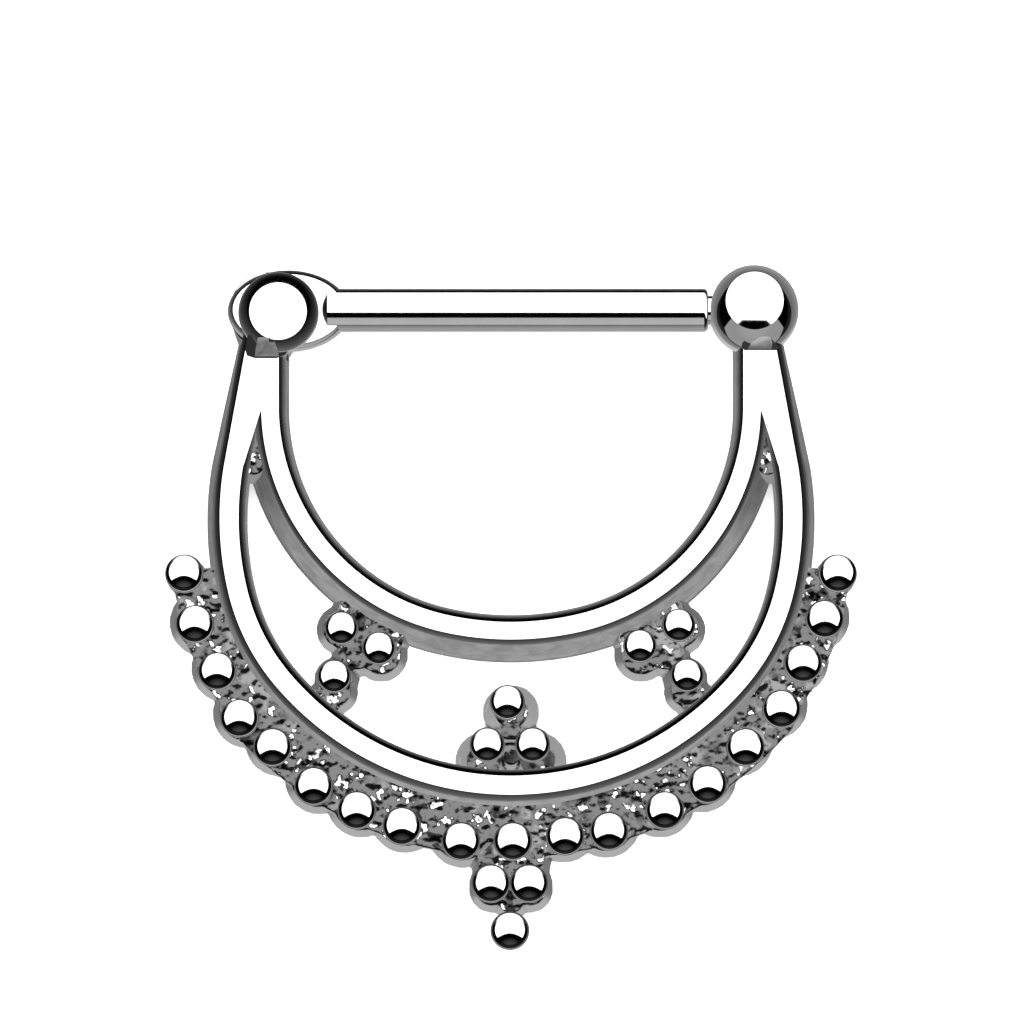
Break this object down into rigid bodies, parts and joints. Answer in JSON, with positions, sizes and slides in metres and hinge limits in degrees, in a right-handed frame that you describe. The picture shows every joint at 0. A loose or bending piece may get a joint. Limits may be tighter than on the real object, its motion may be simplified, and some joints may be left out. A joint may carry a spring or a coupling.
{
  "type": "septum ring",
  "caption": "Beaded fan septum ring with two rails and a hinged straight bar that swings out of a ball catch.",
  "frame": {"origin": "on the flat back, under the middle of the ring's overall box", "axes": "the ring's plane is XY and its beaded front faces +Z; the bar lies along X on the +Y side, with its hinge at -X; the beaded fan points to -Y"},
  "size_m": [0.0192, 0.019, 0.0025],
  "materials": {
    "frame_steel": "mirror polished rails, balls and beads, pitted as cast between them",
    "bar_steel": "mirror polished",
    "pin_steel": "plain turned"
  },
  "bodies": {
    "frame": {"frame": "frame_steel", "hinge_pin": "pin_steel"},
    "bar": {"bar": "bar_steel"}
  },
  "joints": [
    {"name": "bar_hinge", "type": "hinge", "parent": "frame", "child": "bar", "pos_m": [-0.0065, 0.00825, 0.0012], "axis": [0, 0, 1], "range_deg": [0, 100]}
  ]
}
